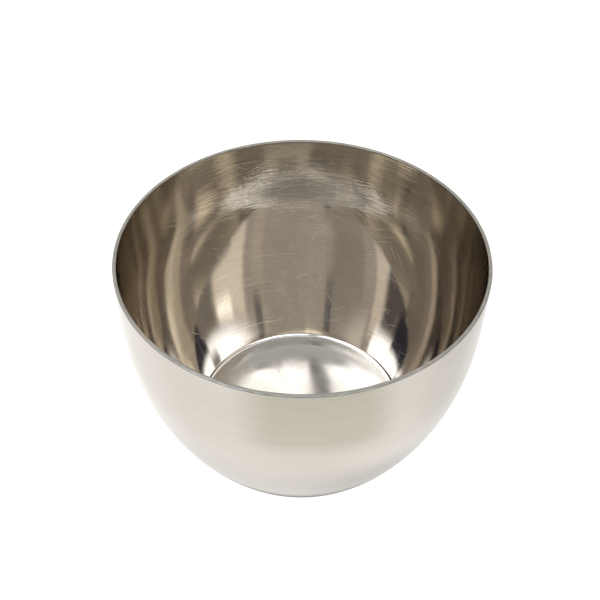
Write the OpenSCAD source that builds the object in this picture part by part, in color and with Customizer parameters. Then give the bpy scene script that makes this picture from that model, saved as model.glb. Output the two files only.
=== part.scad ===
// Shaving bowl drawn in one piece from a round blank of stainless steel sheet.
// Its wall is three tangent bends: a long, nearly straight one under the rim, a rounder
// one below it, and a tight corner that turns the wall into the flat floor.
// Origin: centre of the base, on the table. +Z is up, and the bowl is round about Z.

/* [Bowl] */
// Outside diameter of the mouth
mouth_d = 100; // [96:1:106]
// Height from the table to the top of the rim
height = 67.4; // [65:0.2:70]
// Diameter of the flat that the bowl stands on
base_d = 61; // [58:1:64]
// Outside radius of the long bend under the rim
upper_r = 388; // [340:4:440]
// Outside radius of the rounder bend below it
lower_r = 87; // [83:1:92]

/* [Sheet] */
// Thickness of the steel
sheet_t = 1; // [0.8:0.1:1.4]
// Inside radius of the corner between the floor and the wall
corner_r = 1.75; // [1.25:0.25:3]

/* [Rim] */
// Depth of the straight lip that ends the wall
lip_h = 0.6; // [0.5:0.1:2]
// Rounding of the lip's outer edge
rim_out_r = 0.3; // [0.15:0.05:0.35]
// Rounding of the lip's inner edge
rim_in_r = 0.2; // [0.1:0.05:0.35]

/* [Hidden] */
$fn = 180;

mouth_r = mouth_d / 2;
base_r = base_d / 2;
corner_out_r = corner_r + sheet_t;
lip_z = height - lip_h;
// Each bend stands this far proud of the next one up, so that their curves cross cleanly
proud = 0.001;

// Centres of the bends, as [radius, height]: the lower one's distances to the others are known
upper_c = [mouth_r - upper_r, lip_z];
corner_c = [base_r, corner_out_r - proud];
upper_gap = upper_r - lower_r + proud;
corner_gap = lower_r - corner_out_r + proud;
between = corner_c - upper_c;
span = norm(between);
along = (span * span + upper_gap * upper_gap - corner_gap * corner_gap) / (2 * span);
aside = sqrt(upper_gap * upper_gap - along * along);
lower_c = upper_c + (along * between + aside * [-between.y, between.x]) / span;

// Unit vectors from each bend's centre to the spot where the next bend takes over
upper_end = (lower_c - upper_c) / upper_gap;
lower_end = (corner_c - lower_c) / corner_gap;

// What lies inside a bend's circle, from a given height up
module inside_bend(centre, r, from_z) {
    intersection() {
        translate(centre)
            circle(r = r);
        translate([0, from_z])
            square([mouth_r, height]);
    }
}

// Half section of the room enclosed by the wall's outside, or by a line inset from it
module enclosed(inset) {
    upper_z = upper_c.y + (upper_r - inset) * upper_end.y;
    lower_z = lower_c.y + (lower_r - inset) * lower_end.y;
    inside_bend(upper_c, upper_r - inset, upper_z);
    inside_bend(lower_c, lower_r - inset, lower_z);
    inside_bend(corner_c, corner_out_r - inset, inset);
    translate([0, inset])
        square([base_r, corner_out_r - inset]);
}

// Half section of the floor and the bent wall, up to the lip
module wall() {
    difference() {
        enclosed(0);
        enclosed(sheet_t);
        translate([0, lip_z])
            square([mouth_r, height]);
    }
}

// Half section of the straight lip, with its two edges rubbed round
module lip() {
    inside_r = mouth_r - sheet_t;
    translate([inside_r, lip_z])
        square([sheet_t - rim_out_r, lip_h - rim_in_r]);
    translate([inside_r + rim_in_r, lip_z])
        square([sheet_t - rim_in_r, lip_h - rim_out_r]);
    translate([inside_r + rim_in_r, lip_z])
        square([sheet_t - rim_in_r - rim_out_r, lip_h]);
    translate([inside_r + rim_in_r, height - rim_in_r])
        circle(r = rim_in_r);
    translate([mouth_r - rim_out_r, height - rim_out_r])
        circle(r = rim_out_r);
}

module bowl_shell() {
    color([0.78, 0.76, 0.72])
        rotate_extrude() {
            wall();
            lip();
        }
}

bowl_shell();
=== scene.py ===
# Looks of a stainless steel shaving bowl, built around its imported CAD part.
import math

import bmesh
import bpy
from mathutils import Matrix, Vector


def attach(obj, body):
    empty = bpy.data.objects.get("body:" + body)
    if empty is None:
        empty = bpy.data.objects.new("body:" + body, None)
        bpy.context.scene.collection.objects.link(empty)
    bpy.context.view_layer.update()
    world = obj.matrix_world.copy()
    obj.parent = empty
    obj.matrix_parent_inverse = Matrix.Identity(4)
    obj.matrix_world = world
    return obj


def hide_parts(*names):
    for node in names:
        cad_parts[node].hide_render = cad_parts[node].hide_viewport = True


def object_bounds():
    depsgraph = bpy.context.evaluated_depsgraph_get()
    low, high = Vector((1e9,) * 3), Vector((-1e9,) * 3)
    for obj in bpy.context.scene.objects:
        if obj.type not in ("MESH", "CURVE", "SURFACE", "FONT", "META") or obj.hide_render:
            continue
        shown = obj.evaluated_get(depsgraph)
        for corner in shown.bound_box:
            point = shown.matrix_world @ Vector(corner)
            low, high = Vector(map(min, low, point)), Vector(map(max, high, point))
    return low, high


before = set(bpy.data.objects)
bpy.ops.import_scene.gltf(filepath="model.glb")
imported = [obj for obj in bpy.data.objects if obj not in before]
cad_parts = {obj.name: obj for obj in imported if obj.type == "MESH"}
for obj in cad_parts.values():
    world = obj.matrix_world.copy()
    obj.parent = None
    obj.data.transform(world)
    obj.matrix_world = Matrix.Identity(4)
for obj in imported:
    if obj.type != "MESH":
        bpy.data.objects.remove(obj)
cad_low, cad_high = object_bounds()

MM = 0.001

# ---------------------------------------------------------------- shape
SHEET = 1.0 * MM
CORNER_IN = 1.75 * MM
UPPER_R = 388 * MM
LOWER_R = 87 * MM
BASE_R = 30.5 * MM
LIP = 0.6 * MM
RIM_OUT = 0.3 * MM
RIM_IN = 0.2 * MM
WELD = 0.001 * MM
# How finely each part of the section is cut; the floor's steps are shares of its radius
FLOOR_STEPS = (0.04, 0.16, 0.2, 0.2, 0.2, 0.14, 0.04, 0.02)
CORNER_STEPS = 12
LOWER_STEPS = 30
UPPER_STEPS = 8
RIM_STEPS = 4
AROUND = 360


def bend_centres(mouth_r, lip_z):
    """Centres of the upper, lower and corner bends, as (radius, height).

    Each bend is tangent to the next."""
    corner_out = CORNER_IN + SHEET
    upper = Vector((mouth_r - UPPER_R, lip_z))
    corner = Vector((BASE_R, corner_out))
    upper_gap, corner_gap = UPPER_R - LOWER_R, LOWER_R - corner_out
    between = corner - upper
    span = between.length
    along = (span**2 + upper_gap**2 - corner_gap**2) / (2 * span)
    aside = math.sqrt(upper_gap**2 - along**2)
    lower = upper + (along * between + aside * Vector((-between.y, between.x))) / span
    return upper, lower, corner


def step_along(bm, vert, move):
    """Draws a straight line from the last point and returns its far end."""
    made = bmesh.ops.extrude_vert_indiv(bm, verts=[vert])["verts"][0]
    bmesh.ops.translate(bm, verts=[made], vec=move)
    return made


def bend_along(bm, vert, centre, angle, steps):
    """Swings the last point about a bend's centre and returns where it ends."""
    made = bmesh.ops.spin(
        bm, geom=[vert], cent=(centre.x, 0, centre.y), axis=(0, -1, 0), angle=angle, steps=steps
    )
    return next(g for g in made["geom_last"] if isinstance(g, bmesh.types.BMVert))


def level_of(direction):
    """Angle of a section direction below level."""
    return math.atan2(-direction.y, direction.x)


def draw_section(bm, low, high):
    """Draws the sheet's half section: up the outside to the lip, then back down the inside."""
    mouth_r, top = (high.x - low.x) / 2, high.z
    upper, lower, corner = bend_centres(mouth_r, top - LIP)
    start, end = level_of(lower - upper), level_of(corner - lower)
    quarter = math.pi / 2

    vert = bm.verts.new((0, 0, low.z))
    for share in FLOOR_STEPS:
        vert = step_along(bm, vert, (BASE_R * share, 0, 0))
    vert = bend_along(bm, vert, corner, quarter - end, CORNER_STEPS)
    vert = bend_along(bm, vert, lower, end - start, LOWER_STEPS)
    vert = bend_along(bm, vert, upper, start, UPPER_STEPS)
    vert = step_along(bm, vert, (0, 0, LIP - RIM_OUT))
    rim_out = Vector((mouth_r - RIM_OUT, top - RIM_OUT))
    vert = bend_along(bm, vert, rim_out, quarter, RIM_STEPS)
    vert = step_along(bm, vert, (RIM_OUT + RIM_IN - SHEET, 0, 0))
    rim_in = Vector((mouth_r - SHEET + RIM_IN, top - RIM_IN))
    vert = bend_along(bm, vert, rim_in, quarter, RIM_STEPS)
    vert = step_along(bm, vert, (0, 0, RIM_IN - LIP))
    vert = bend_along(bm, vert, upper, -start, UPPER_STEPS)
    vert = bend_along(bm, vert, lower, start - end, LOWER_STEPS)
    vert = bend_along(bm, vert, corner, end - quarter, CORNER_STEPS)
    for share in reversed(FLOOR_STEPS):
        vert = step_along(bm, vert, (-BASE_R * share, 0, 0))


def spin_bowl(name):
    """Spins the section into the whole bowl, closed at both poles."""
    bm = bmesh.new()
    draw_section(bm, cad_low, cad_high)
    bmesh.ops.spin(
        bm,
        geom=bm.verts[:] + bm.edges[:],
        cent=(0, 0, 0),
        axis=(0, 0, 1),
        angle=math.tau,
        steps=AROUND,
        use_merge=True,
    )
    bmesh.ops.remove_doubles(bm, verts=bm.verts, dist=WELD)
    bmesh.ops.recalc_face_normals(bm, faces=bm.faces)
    for face in bm.faces:
        face.smooth = True
    mesh = bpy.data.meshes.new(name)
    bm.to_mesh(mesh)
    bm.free()
    piece = bpy.data.objects.new(name, mesh)
    bpy.context.collection.objects.link(piece)
    return piece


bowl = spin_bowl("bowl")


# ---------------------------------------------------------------- node helpers
class Nodes:
    """A node tree with short calls for the nodes that every finish here uses."""

    def __init__(self, tree):
        self.tree = tree

    def put(self, socket, value):
        """Links a socket, or sets its value."""
        if isinstance(value, bpy.types.NodeSocket):
            self.tree.links.new(value, socket)
        else:
            socket.default_value = value

    def add(self, kind, settings=None, **inputs):
        node = self.tree.nodes.new(kind)
        for key, value in (settings or {}).items():
            setattr(node, key, value)
        for key, value in inputs.items():
            self.put(node.inputs[key.replace("_", " ")], value)
        return node

    def math(self, operation, *values):
        node = self.add("ShaderNodeMath", {"operation": operation})
        for socket, value in zip(node.inputs, values):
            self.put(socket, value)
        return node.outputs[0]

    def vector(self, operation, *values):
        node = self.add("ShaderNodeVectorMath", {"operation": operation})
        sockets = [s for s in node.inputs if s.type == "VECTOR"]
        for socket, value in zip(sockets, values):
            self.put(socket, value)
        return node

    def scaled(self, vector, scale):
        node = self.add("ShaderNodeVectorMath", {"operation": "SCALE"})
        self.put(node.inputs[0], vector)
        self.put(node.inputs["Scale"], scale)
        return node.outputs[0]

    def split(self, vector):
        node = self.add("ShaderNodeSeparateXYZ")
        self.put(node.inputs[0], vector)
        return node.outputs

    def join(self, x, y, z):
        node = self.add("ShaderNodeCombineXYZ")
        for socket, value in zip(node.inputs, (x, y, z)):
            self.put(socket, value)
        return node.outputs[0]

    def ease(self, value, low, high, to_low=0.0, to_high=1.0):
        """Smooth step from to_low at low to to_high at high."""
        node = self.add("ShaderNodeMapRange", {"interpolation_type": "SMOOTHSTEP"})
        for name, number in (
            ("Value", value),
            ("From Min", low),
            ("From Max", high),
            ("To Min", to_low),
            ("To Max", to_high),
        ):
            self.put(node.inputs[name], number)
        return node.outputs[0]

    def noise(self, vector, scale, detail=2.0, roughness=0.5):
        node = self.add("ShaderNodeTexNoise", Scale=scale, Detail=detail, Roughness=roughness)
        self.put(node.inputs["Vector"], vector)
        return node.outputs["Fac"]

    def mix(self, factor, a, b):
        """Mixes two colours."""
        node = self.add("ShaderNodeMix", {"data_type": "RGBA", "clamp_factor": True})
        self.put(node.inputs["Factor"], factor)
        self.put(node.inputs[6], a)
        self.put(node.inputs[7], b)
        return node.outputs[2]


def new_group(name, inputs, outputs):
    """A shader node group: inputs and outputs are (name, type, default) rows."""
    group = bpy.data.node_groups.new(name, "ShaderNodeTree")
    for label, kind, default in inputs:
        socket = group.interface.new_socket(label, in_out="INPUT", socket_type=kind)
        if default is not None:
            socket.default_value = default
    for label, kind in outputs:
        group.interface.new_socket(label, in_out="OUTPUT", socket_type=kind)
    nodes = Nodes(group)
    entry = nodes.add("NodeGroupInput").outputs
    leave = nodes.add("NodeGroupOutput").inputs
    return group, nodes, entry, leave


def use_group(nodes, group, **inputs):
    node = nodes.add("ShaderNodeGroup", {"node_tree": group})
    for key, value in inputs.items():
        nodes.put(node.inputs[key.replace("_", " ")], value)
    return node.outputs


FLOAT, VECTOR, COLOR = "NodeSocketFloat", "NodeSocketVector", "NodeSocketColor"

# ---------------------------------------------------------------- colours
STEEL = (0.625, 0.588, 0.542, 1)
STEEL_DULL = (0.575, 0.54, 0.49, 1)
STEEL_CUT = (0.8, 0.78, 0.74, 1)
STEEL_STREAK = (0.5, 0.47, 0.425, 1)
# The rim's two dark greys are painted shade along the lip; the rubbed grain runs between them
RUBBED_SHADED_STEEL = (0.36, 0.352, 0.335, 1)
SHADED_GREY_STEEL = (0.23, 0.227, 0.217, 1)
SOAP_SPECK = (0.45, 0.44, 0.42, 1)

# ---------------------------------------------------------------- effects shared by the finishes
# Radius at which the wall is unrolled flat for the scratches, and the height where the wall begins
UNROLL_R = 40 * MM
WALL_FROM = 1.6 * MM
# Step from one scratch family's seed to the next, and how far a seed of 1 moves its worn patches
SEED_STEP = 3.7
PATCH_MOVE = (0.31 / SEED_STEP, 0.17 / SEED_STEP, 0.0)


def make_lathe_lines():
    """Fine lines that run round the bowl, spaced along the sheet and drifting a little.

    Along grows steadily from the middle of the floor to the rim."""
    group, n, entry, leave = new_group(
        "lathe_lines",
        [
            ("Spacing", FLOAT, 0.4 * MM),
            ("Turns", FLOAT, 4.0),
            ("Drift", FLOAT, MM),
            ("Seed", FLOAT, 0.0),
        ],
        [("Lines", FLOAT), ("Along", FLOAT)],
    )
    x, y, z = n.split(n.add("ShaderNodeTexCoord").outputs["Object"])
    flat = n.join(x, y, 0.0)
    around = n.vector("NORMALIZE", flat).outputs["Vector"]
    along = n.math("ADD", n.vector("LENGTH", flat).outputs["Value"], z)
    where = n.join(0.0, entry["Seed"], n.math("MULTIPLY", along, 12.0))
    sway = n.noise(n.vector("ADD", around, where).outputs["Vector"], 1.2, 1.0)
    moved = n.math("MULTIPLY", n.math("SUBTRACT", sway, 0.5), entry["Drift"])
    across = n.math("DIVIDE", n.math("ADD", along, moved), entry["Spacing"])
    ax, ay, _ = n.split(n.scaled(around, entry["Turns"]))
    spot = n.join(ax, ay, n.math("MULTIPLY_ADD", entry["Seed"], 17.0, across))
    n.put(leave["Lines"], n.noise(spot, 1.0, 3.0, 0.6))
    n.put(leave["Along"], along)
    return group


def make_scratches():
    """Short straight scratches at one slant, of mixed strength, gathered in worn patches."""
    group, n, entry, leave = new_group(
        "scratches",
        [
            ("Length", FLOAT, 80 * MM),
            ("Spacing", FLOAT, 1.5 * MM),
            ("Slant", FLOAT, 0.5),
            ("Share", FLOAT, 0.5),
            ("Patch Scale", FLOAT, 30.0),
            ("Seed", FLOAT, 0.0),
        ],
        [("Marks", FLOAT)],
    )
    place = n.add("ShaderNodeTexCoord").outputs["Object"]
    x, y, z = n.split(place)
    radius = n.vector("LENGTH", n.join(x, y, 0.0)).outputs["Value"]
    around = n.math("MULTIPLY", n.math("ARCTAN2", x, y), UNROLL_R)
    unrolled = n.join(around, n.math("ADD", radius, z), 0.0)
    wall = n.math("GREATER_THAN", z, WALL_FROM)
    pick = n.add("ShaderNodeMix", {"data_type": "VECTOR"})
    n.put(pick.inputs["Factor"], wall)
    n.put(pick.inputs[4], n.join(x, y, 0.0))
    n.put(pick.inputs[5], unrolled)
    turn = n.add("ShaderNodeVectorRotate", {"rotation_type": "Z_AXIS"}, Vector=pick.outputs[1])
    n.put(turn.inputs["Angle"], entry["Slant"])
    u, v, _ = n.split(turn.outputs[0])
    bow = n.noise(n.join(u, v, entry["Seed"]), 20.0, 1.0)
    v = n.math("MULTIPLY_ADD", bow, 0.8 * MM, v)
    cell = n.join(
        n.math("ADD", n.math("DIVIDE", u, entry["Length"]), entry["Seed"]),
        n.math("DIVIDE", v, entry["Spacing"]),
        0.0,
    )
    spots = n.add("ShaderNodeTexVoronoi", {"voronoi_dimensions": "2D"}, Scale=1.0)
    n.put(spots.inputs["Vector"], cell)
    keen, deep, _ = n.split(spots.outputs["Color"])
    line = n.ease(spots.outputs["Distance"], 0.075, 0.02)
    kept = n.math("LESS_THAN", keen, entry["Share"])
    marks = n.math("MULTIPLY", n.math("MULTIPLY", line, kept), n.ease(deep, -0.2, 1.0))
    moved = n.vector("ADD", place, n.scaled(PATCH_MOVE, entry["Seed"])).outputs["Vector"]
    patch = n.ease(n.noise(moved, entry["Patch Scale"], 1.0), 0.42, 0.62)
    n.put(leave["Marks"], n.math("MULTIPLY", marks, patch))
    return group


def make_clouded_steel():
    """Bare steel that drifts softly between its bright and its duller shade."""
    group, n, entry, leave = new_group(
        "clouded_steel",
        [
            ("Scale", FLOAT, 55.0),
            ("Detail", FLOAT, 3.0),
            ("Bright Below", FLOAT, 0.35),
            ("Dull Above", FLOAT, 0.75),
        ],
        [("Color", COLOR)],
    )
    place = n.add("ShaderNodeTexCoord").outputs["Object"]
    cloud = n.noise(place, entry["Scale"], entry["Detail"])
    dull = n.ease(cloud, entry["Bright Below"], entry["Dull Above"])
    n.put(leave["Color"], n.mix(dull, STEEL, STEEL_DULL))
    return group


def make_wavy_grain():
    """The surface's normal: a fine grain of a given height, over the slow waves of beaten sheet."""
    group, n, entry, leave = new_group(
        "wavy_grain",
        [
            ("Grain", FLOAT, 0.0),
            ("Grain Depth", FLOAT, 0.001 * MM),
            ("Wave Scale", FLOAT, 55.0),
            ("Wave Detail", FLOAT, 1.0),
            ("Wave Depth", FLOAT, 0.05 * MM),
        ],
        [("Normal", VECTOR)],
    )
    place = n.add("ShaderNodeTexCoord").outputs["Object"]
    grain = n.add(
        "ShaderNodeBump", Strength=1.0, Distance=entry["Grain Depth"], Height=entry["Grain"]
    )
    waves = n.noise(place, entry["Wave Scale"], entry["Wave Detail"])
    wavy = n.add("ShaderNodeBump", Strength=1.0, Distance=entry["Wave Depth"], Height=waves)
    n.put(wavy.inputs["Normal"], grain.outputs[0])
    n.put(leave["Normal"], wavy.outputs[0])
    return group


LATHE = make_lathe_lines()
SCRATCHES = make_scratches()
CLOUDED = make_clouded_steel()
WAVY = make_wavy_grain()


# ---------------------------------------------------------------- finishes

def start_finish(name, brushed):
    """A bare steel finish, brushed round the bowl by the given amount."""
    mat = bpy.data.materials.new(name)
    mat.use_nodes = True
    n = Nodes(mat.node_tree)
    bsdf = mat.node_tree.nodes["Principled BSDF"]
    bsdf.inputs["Metallic"].default_value = 1
    bsdf.inputs["Anisotropic"].default_value = brushed
    round_z = n.add("ShaderNodeTangent", {"direction_type": "RADIAL", "axis": "Z"})
    n.put(bsdf.inputs["Tangent"], round_z.outputs[0])
    return mat, n, bsdf


def worn_marks(n, families, patch_scale):
    """Several families of scratches, each in its own worn patches.

    A family is its length and spacing in mm, slant in degrees, and the share that is kept."""
    total = None
    for seed, (length, spacing, slant, share) in enumerate(families, start=1):
        marks = use_group(
            n,
            SCRATCHES,
            Length=length * MM,
            Spacing=spacing * MM,
            Slant=math.radians(slant),
            Share=share,
            Patch_Scale=patch_scale,
            Seed=seed * SEED_STEP,
        )["Marks"]
        total = marks if total is None else n.math("MAXIMUM", total, marks)
    return total


def clouded(n, scale, detail, bright_below, dull_above):
    """The clouded steel colour, for a finish."""
    return use_group(
        n,
        CLOUDED,
        Scale=scale,
        Detail=detail,
        Bright_Below=bright_below,
        Dull_Above=dull_above,
    )["Color"]


def wavy(n, grain, grain_mm, wave_scale, wave_detail, wave_mm):
    """The normal of a finish: its grain's height, and how deep the grain and the waves are in mm."""
    return use_group(
        n,
        WAVY,
        Grain=grain,
        Grain_Depth=grain_mm * MM,
        Wave_Scale=wave_scale,
        Wave_Detail=wave_detail,
        Wave_Depth=wave_mm * MM,
    )["Normal"]


def polished_inside():
    """Bright steel, buffed round and round and then scratched by use, streakier towards the rim."""
    mat, n, bsdf = start_finish("polished_inside", 0.7)
    fine = use_group(n, LATHE, Spacing=0.3 * MM, Turns=5.0, Drift=1.0 * MM, Seed=1.0)
    coarse = use_group(n, LATHE, Spacing=0.65 * MM, Turns=7.0, Drift=1.5 * MM, Seed=7.0)
    upper = n.ease(fine["Along"], 82 * MM, 98 * MM)
    families = [(60, 0.9, 35, 0.8), (50, 1.0, -30, 0.7), (70, 1.1, 58, 0.6), (120, 0.7, 3, 0.7)]
    marks = worn_marks(n, families, 30.0)
    color = clouded(n, 55.0, 3.0, 0.35, 0.75)
    streaky = n.math("MULTIPLY_ADD", upper, 0.6, 0.5)
    streak = n.math("MULTIPLY", n.ease(coarse["Lines"], 0.3, 0.7), streaky)
    color = n.mix(streak, color, STEEL_STREAK)
    color = n.mix(n.math("MULTIPLY", marks, 0.5), color, STEEL_CUT)
    n.put(bsdf.inputs["Base Color"], color)
    dull = n.ease(fine["Lines"], 0.35, 0.72, 0.03, 0.075)
    n.put(bsdf.inputs["Roughness"], n.math("MULTIPLY_ADD", marks, 0.22, dull))
    lines = n.math("MULTIPLY_ADD", coarse["Lines"], 2.5, n.math("MULTIPLY", fine["Lines"], 0.5))
    lines = n.math("MULTIPLY", lines, n.math("MULTIPLY_ADD", upper, 1.5, 0.4))
    lines = n.math("SUBTRACT", lines, n.math("MULTIPLY", marks, 2.0))
    n.put(bsdf.inputs["Normal"], wavy(n, lines, 0.0025, 55.0, 1.0, 0.045))
    return mat


def polished_floor():
    """The flat floor: mirror bright, with a faint swirl, fine scratches and specks of soap."""
    mat, n, bsdf = start_finish("polished_floor", 0.3)
    place = n.add("ShaderNodeTexCoord").outputs["Object"]
    fine = use_group(n, LATHE, Spacing=0.4 * MM, Turns=4.0, Drift=3 * MM, Seed=2.0)
    families = [(60, 1.3, 20, 0.7), (50, 1.5, -50, 0.6), (45, 1.6, 85, 0.5)]
    marks = worn_marks(n, families, 45.0)
    specks = n.add("ShaderNodeTexVoronoi", Scale=420.0)
    n.put(specks.inputs["Vector"], place)
    chance, _, _ = n.split(specks.outputs["Color"])
    dot = n.ease(specks.outputs["Distance"], 0.13, 0.07)
    speck = n.math("MULTIPLY", dot, n.math("LESS_THAN", chance, 0.16))
    color = clouded(n, 70.0, 3.0, 0.35, 0.75)
    color = n.mix(n.math("MULTIPLY", marks, 0.7), color, STEEL_CUT)
    color = n.mix(n.math("MULTIPLY", speck, 0.6), color, SOAP_SPECK)
    n.put(bsdf.inputs["Base Color"], color)
    dull = n.ease(n.noise(place, 90.0, 4.0, 0.6), 0.3, 0.7, 0.14, 0.28)
    dull = n.math("MULTIPLY_ADD", speck, 0.3, dull)
    n.put(bsdf.inputs["Roughness"], n.math("MULTIPLY_ADD", marks, 0.25, dull))
    height = n.math("SUBTRACT", fine["Lines"], n.math("MULTIPLY", marks, 1.5))
    height = n.math("ADD", height, speck)
    n.put(bsdf.inputs["Normal"], wavy(n, height, 0.0015, 60.0, 2.0, 0.2))
    return mat


def satin_outside():
    """Brushed round to a soft satin, with a few handling scratches."""
    mat, n, bsdf = start_finish("satin_outside", 0.5)
    fine = use_group(n, LATHE, Spacing=0.25 * MM, Turns=8.0, Drift=2 * MM, Seed=3.0)
    broad = use_group(n, LATHE, Spacing=2.5 * MM, Turns=2.0, Drift=4 * MM, Seed=9.0)
    marks = worn_marks(n, [(70, 1.6, 15, 0.5), (60, 1.9, -40, 0.4)], 30.0)
    color = clouded(n, 45.0, 3.0, 0.3, 0.8)
    color = n.mix(n.ease(broad["Lines"], 0.3, 0.8, 0.0, 0.5), color, STEEL_DULL)
    color = n.mix(n.math("MULTIPLY", marks, 0.4), color, STEEL_CUT)
    n.put(bsdf.inputs["Base Color"], color)
    dull = n.ease(fine["Lines"], 0.3, 0.7, 0.11, 0.16)
    n.put(bsdf.inputs["Roughness"], n.math("MULTIPLY_ADD", marks, 0.15, dull))
    height = n.math("SUBTRACT", fine["Lines"], n.math("MULTIPLY", marks, 0.8))
    n.put(bsdf.inputs["Normal"], wavy(n, height, 0.0008, 50.0, 1.0, 0.05))
    return mat


def scuffed_base():
    """The flat underneath: turning rings, rubbed where it slides on the shelf."""
    mat, n, bsdf = start_finish("scuffed_base", 0.5)
    rings = use_group(n, LATHE, Spacing=0.5 * MM, Turns=1.5, Drift=0.5 * MM, Seed=4.0)
    families = [(60, 1.0, 10, 0.8), (50, 1.1, 70, 0.8), (55, 1.2, -45, 0.8)]
    marks = worn_marks(n, families, 25.0)
    edge = n.ease(rings["Along"], 24 * MM, 30 * MM)
    color = clouded(n, 60.0, 4.0, 0.3, 0.7)
    color = n.mix(n.math("MULTIPLY", marks, 0.7), color, STEEL_CUT)
    n.put(bsdf.inputs["Base Color"], color)
    dull = n.ease(rings["Lines"], 0.3, 0.7, 0.24, 0.36)
    dull = n.math("MULTIPLY_ADD", edge, 0.08, dull)
    n.put(bsdf.inputs["Roughness"], n.math("MULTIPLY_ADD", marks, 0.15, dull))
    height = n.math("SUBTRACT", rings["Lines"], n.math("MULTIPLY", marks, 0.6))
    grain = n.add("ShaderNodeBump", Strength=1.0, Distance=0.008 * MM, Height=height)
    n.put(bsdf.inputs["Normal"], grain.outputs[0])
    return mat


def shaded_rubbed_rim():
    """The cut edge, rubbed down with a stone, its steel darkened to a grey that is painted shade
    along the lip.
    """
    mat, n, bsdf = start_finish("shaded_rubbed_rim", 0.4)
    place = n.add("ShaderNodeTexCoord").outputs["Object"]
    fine = use_group(n, LATHE, Spacing=0.12 * MM, Turns=14.0, Drift=0.5 * MM, Seed=5.0)
    nicks = n.ease(n.noise(place, 900.0, 2.0), 0.62, 0.75)
    # Painted shade: the edge is dark grey, with the rubbed grain between two greys and lighter nicks
    color = n.mix(n.ease(fine["Lines"], 0.3, 0.7), RUBBED_SHADED_STEEL, SHADED_GREY_STEEL)
    n.put(bsdf.inputs["Base Color"], n.mix(n.math("MULTIPLY", nicks, 0.5), color, STEEL_DULL))
    dull = n.ease(fine["Lines"], 0.3, 0.7, 0.3, 0.44)
    n.put(bsdf.inputs["Roughness"], n.math("MULTIPLY_ADD", nicks, 0.15, dull))
    height = n.math("SUBTRACT", fine["Lines"], nicks)
    bump = n.add("ShaderNodeBump", Strength=1.0, Distance=0.005 * MM, Height=height)
    n.put(bsdf.inputs["Normal"], bump.outputs[0])
    return mat


OUTSIDE, INSIDE, RIM, FLOOR, BASE = range(5)


def finish_for(face):
    """Which finish a face has: its place and the side of the sheet that it is on tell."""
    middle = face.center
    out = Vector((middle.x, middle.y, 0))
    if middle.z > cad_high.z - RIM_OUT:
        return RIM
    if middle.z < SHEET / 2:
        return BASE if face.normal.z < -0.9 else OUTSIDE
    if middle.z < SHEET * 1.01:
        return FLOOR
    return INSIDE if face.normal.dot(out) < 0 else OUTSIDE


def paint(piece):
    """Gives each side of the sheet its finish; the finishes are in the order of their numbers."""
    for make in (satin_outside, polished_inside, shaded_rubbed_rim, polished_floor, scuffed_base):
        piece.data.materials.append(make())
    for face in piece.data.polygons:
        face.material_index = finish_for(face)


paint(bowl)
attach(bowl, "root")
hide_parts("bowl_shell")


# ---------------------------------------------------------------- stage
# The table and the room look plain white from the camera, whatever light they give the bowl
SEEN_WHITE = 1.1
TABLE_SIZE = 4
TABLE_DROP = 0.02 * MM
TABLE_LIGHT = 1.17
# Shaded parts of the table: middle, half width and softness in degrees, near and far edge in mm,
# loss of light, and how warm the shade is
TABLE_SHADES = [
    (8, 32, 12, 64, 84, 0.22, 0.9),
    (6, 42, 14, 84, 170, 0.2, 0.9),
    (96, 32, 20, 36, 60, 0.2, 0.0),
    (38, 26, 20, 58, 42, 0.18, 0.0),
]


def sector(n, place, middle, half, soft):
    """A soft-edged slice of the table, by compass angle in degrees: 0 in front, right positive."""
    x, y, _ = n.split(place)
    turn = n.math("DEGREES", n.math("ARCTAN2", x, n.math("MULTIPLY", y, -1.0)))
    aside = n.math("ABSOLUTE", n.math("SUBTRACT", turn, middle))
    return n.ease(aside, half + soft, half - soft)


def make_floor():
    """A plain white table that glows, with painted shade a little in front and where the bowl
    touches it.

    From underneath it is clear, so that it doesn't hide the bowl."""
    bpy.ops.mesh.primitive_plane_add(size=TABLE_SIZE, location=(0, 0, -TABLE_DROP))
    floor = bpy.context.object
    floor.name = "table"
    mat = bpy.data.materials.new("table_white")
    mat.use_nodes = True
    tree = mat.node_tree
    n = Nodes(tree)
    tree.nodes.remove(tree.nodes["Principled BSDF"])
    place = n.add("ShaderNodeTexCoord").outputs["Object"]
    x, y, _ = n.split(place)
    radius = n.vector("LENGTH", n.join(x, y, 0.0)).outputs["Value"]
    light, yellow = TABLE_LIGHT, 0.0
    for middle, half, soft, near, far, loss, warm in TABLE_SHADES:
        reach = n.ease(radius, near * MM, far * MM)
        shade = n.math("MULTIPLY", reach, sector(n, place, middle, half, soft))
        light = n.math("MULTIPLY", n.math("MULTIPLY_ADD", shade, -loss, 1.0), light)
        yellow = n.math("MAXIMUM", n.math("MULTIPLY", shade, warm), yellow)
    # Painted contact shade round the foot, and painted full light right under the base
    light = n.math("MULTIPLY", n.ease(radius, 31 * MM, 37 * MM, 0.05, 1.0), light)
    light = n.math("MULTIPLY", n.ease(radius, 32 * MM, 60 * MM, 0.76, 1.0), light)
    light = n.math("MAXIMUM", light, n.math("LESS_THAN", radius, BASE_R))
    seen = n.add("ShaderNodeLightPath").outputs["Is Camera Ray"]
    light = n.math("MAXIMUM", light, n.math("MULTIPLY", seen, SEEN_WHITE))
    tone = n.mix(yellow, (1.0, 0.985, 0.97, 1), (1.0, 0.985, 0.9, 1))
    glow = n.add("ShaderNodeEmission", Color=tone, Strength=light)
    under = n.add("ShaderNodeMixShader")
    n.put(under.inputs[0], n.add("ShaderNodeNewGeometry").outputs["Backfacing"])
    n.put(under.inputs[1], glow.outputs[0])
    n.put(under.inputs[2], n.add("ShaderNodeBsdfTransparent").outputs[0])
    n.put(tree.nodes["Material Output"].inputs["Surface"], under.outputs[0])
    floor.data.materials.append(mat)


make_floor()

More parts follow.
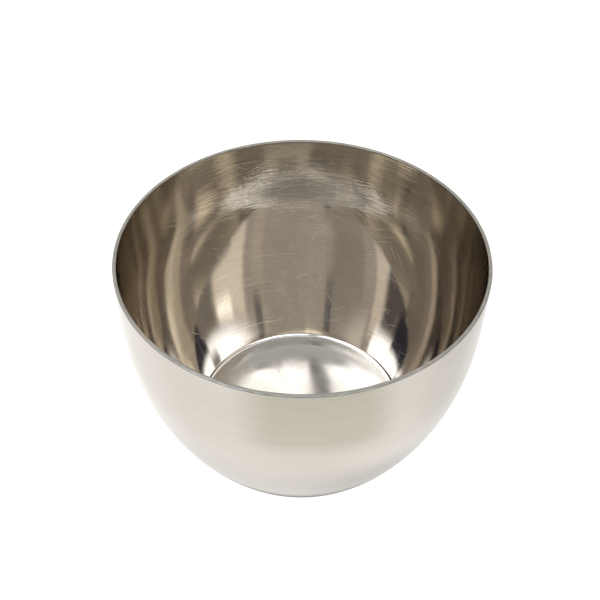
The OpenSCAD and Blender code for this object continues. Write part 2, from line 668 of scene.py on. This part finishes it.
# The camera: its distance from the middle of the mouth in mouth radii, its height above level
# and compass angle as seen from there, then how far below level and aside it looks, and its tilt
DISTANCE = 5.2
RISE = math.radians(42.01)
AZ = math.radians(-0.13)
BELOW = math.radians(44.89)
YAW = math.radians(-0.02)
ROLL = math.radians(0.69)


def make_camera():
    """Looks down at the bowl from the front, a little under half way from level to overhead."""
    distance = DISTANCE * (cad_high.x - cad_low.x) / 2
    data = bpy.data.cameras.new("camera")
    data.sensor_width = 36
    data.lens = 58.8
    data.clip_start, data.clip_end = 0.01, 20
    camera = bpy.data.objects.new("camera", data)
    bpy.context.collection.objects.link(camera)
    camera.location = (
        distance * math.cos(RISE) * math.sin(AZ),
        -distance * math.cos(RISE) * math.cos(AZ),
        cad_high.z + distance * math.sin(RISE),
    )
    level = math.cos(BELOW)
    forward = Vector((math.sin(YAW) * level, math.cos(YAW) * level, -math.sin(BELOW)))
    upright = forward.to_track_quat("-Z", "Y").to_matrix().to_4x4()
    camera.rotation_mode = "QUATERNION"
    camera.rotation_quaternion = (Matrix.Rotation(-ROLL, 4, forward) @ upright).to_quaternion()
    bpy.context.scene.camera = camera


make_camera()


def make_soft_patch():
    """A soft-edged mask for one light or dark panel, placed by compass angle and height."""
    group, n, entry, leave = new_group(
        "soft_patch",
        [
            ("Direction", VECTOR, None),
            ("Compass", FLOAT, 0.0),
            ("Rise", FLOAT, 45.0),
            ("Half Width", FLOAT, 10.0),
            ("Half Height", FLOAT, 10.0),
            ("Edge", FLOAT, 4.0),
        ],
        [("Mask", FLOAT)],
    )
    turn = n.add("ShaderNodeVectorRotate", {"rotation_type": "Z_AXIS"}, Vector=entry["Direction"])
    n.put(turn.inputs["Angle"], n.math("RADIANS", entry["Compass"]))
    x, y, z = n.split(turn.outputs[0])
    aside = n.math("ABSOLUTE", n.math("DEGREES", n.math("ARCTAN2", x, y)))
    height = n.math("DEGREES", n.math("ARCSINE", z))
    above = n.math("ABSOLUTE", n.math("SUBTRACT", height, entry["Rise"]))
    masks = []
    for far, half in ((aside, entry["Half Width"]), (above, entry["Half Height"])):
        over = n.math("SUBTRACT", far, half)
        masks.append(n.ease(n.math("DIVIDE", over, entry["Edge"]), 0.5, -0.5))
    n.put(leave["Mask"], n.math("MULTIPLY", *masks))
    return group


# The room's even light, and how bright it and its panels are
ROOM_GREY = (0.74, 0.7, 0.65)
ROOM_LIGHT = 1.07
# Each panel of the room round the table: compass angle (0 is behind the bowl, 180 the camera's side,
# positive to the right), height above level, half width, half height, soft edge, colour
PANELS = [
    (0, 90, 180, 16, 6, (0.85, 0.92, 0.98)),
    (150, 36, 48, 3, 5, (1.4, 1.42, 1.33)),
    (-103, 36.5, 16, 1.5, 2, (0.5, 0.48, 0.46)),
    (-106, 42.5, 24, 6, 7, (1.6, 1.5, 1.32)),
    (-62, 42, 8, 3, 8, (0.95, 0.87, 0.78)),
    (64, 42, 22, 4, 6, (0.58, 0.55, 0.51)),
    (-2, 39.4, 48, 1.2, 2, (1.7, 1.65, 1.45)),
    (-33, 39.6, 12, 1.2, 2, (2.1, 2.05, 1.8)),
    (20, 40.5, 14, 1.1, 2, (2.5, 2.4, 2.05)),
    (0, 50.5, 100, 2.5, 5, (1.25, 1.22, 1.15)),
    (-22, 49.0, 32, 2.6, 2.5, (2.5, 2.4, 2.05)),
    (22, 48.3, 6, 1.3, 2, (2.8, 2.75, 2.5)),
    (-116, 46.2, 12, 1.5, 4, (3.2, 3.2, 3.0)),
    (-135, 37, 34, 1.5, 2, (0.5, 0.49, 0.47)),
    (-63, 46, 5, 1.4, 2.5, (0.32, 0.31, 0.32)),
    (38, 45.2, 5, 1.4, 2.5, (0.12, 0.13, 0.16)),
    (113, 43, 8, 8, 3, (1.35, 1.25, 1.13)),
    (-149, 63, 96, 13, 5, (3.4, 3.6, 3.9)),
    (-160, 67, 10, 14, 5, (0.5, 0.52, 0.55)),
    (132, 75, 22, 2, 3, (0.45, 0.45, 0.47)),
    (145, 43, 20, 6, 4, (0.2, 0.18, 0.17)),
    (175, 46.5, 20, 5, 3, (0.05, 0.05, 0.07)),
    (-152, 43, 18, 5, 4, (0.42, 0.39, 0.36)),
]


def make_room():
    """The room's soft light: an even warm grey with lighter and darker panels."""
    world = bpy.data.worlds.new("room")
    bpy.context.scene.world = world
    world.use_nodes = True
    n = Nodes(world.node_tree)
    patch = make_soft_patch()
    direction = n.add("ShaderNodeTexCoord").outputs["Generated"]
    color = (*ROOM_GREY, 1)
    for compass, rise, half_width, half_height, edge, shade in PANELS:
        mask = use_group(
            n,
            patch,
            Direction=direction,
            Compass=float(compass),
            Rise=float(rise),
            Half_Width=float(half_width),
            Half_Height=float(half_height),
            Edge=float(edge),
        )["Mask"]
        color = n.mix(mask, color, (*shade, 1))
    lit = n.scaled(color, ROOM_LIGHT)
    seen = n.add("ShaderNodeLightPath").outputs["Is Camera Ray"]
    white = (SEEN_WHITE, SEEN_WHITE, SEEN_WHITE, 1)
    n.put(world.node_tree.nodes["Background"].inputs["Color"], n.mix(seen, lit, white))


make_room()

scene = bpy.context.scene
scene.view_settings.view_transform = "Standard"
scene.cycles.max_bounces = 20
scene.cycles.glossy_bounces = 16
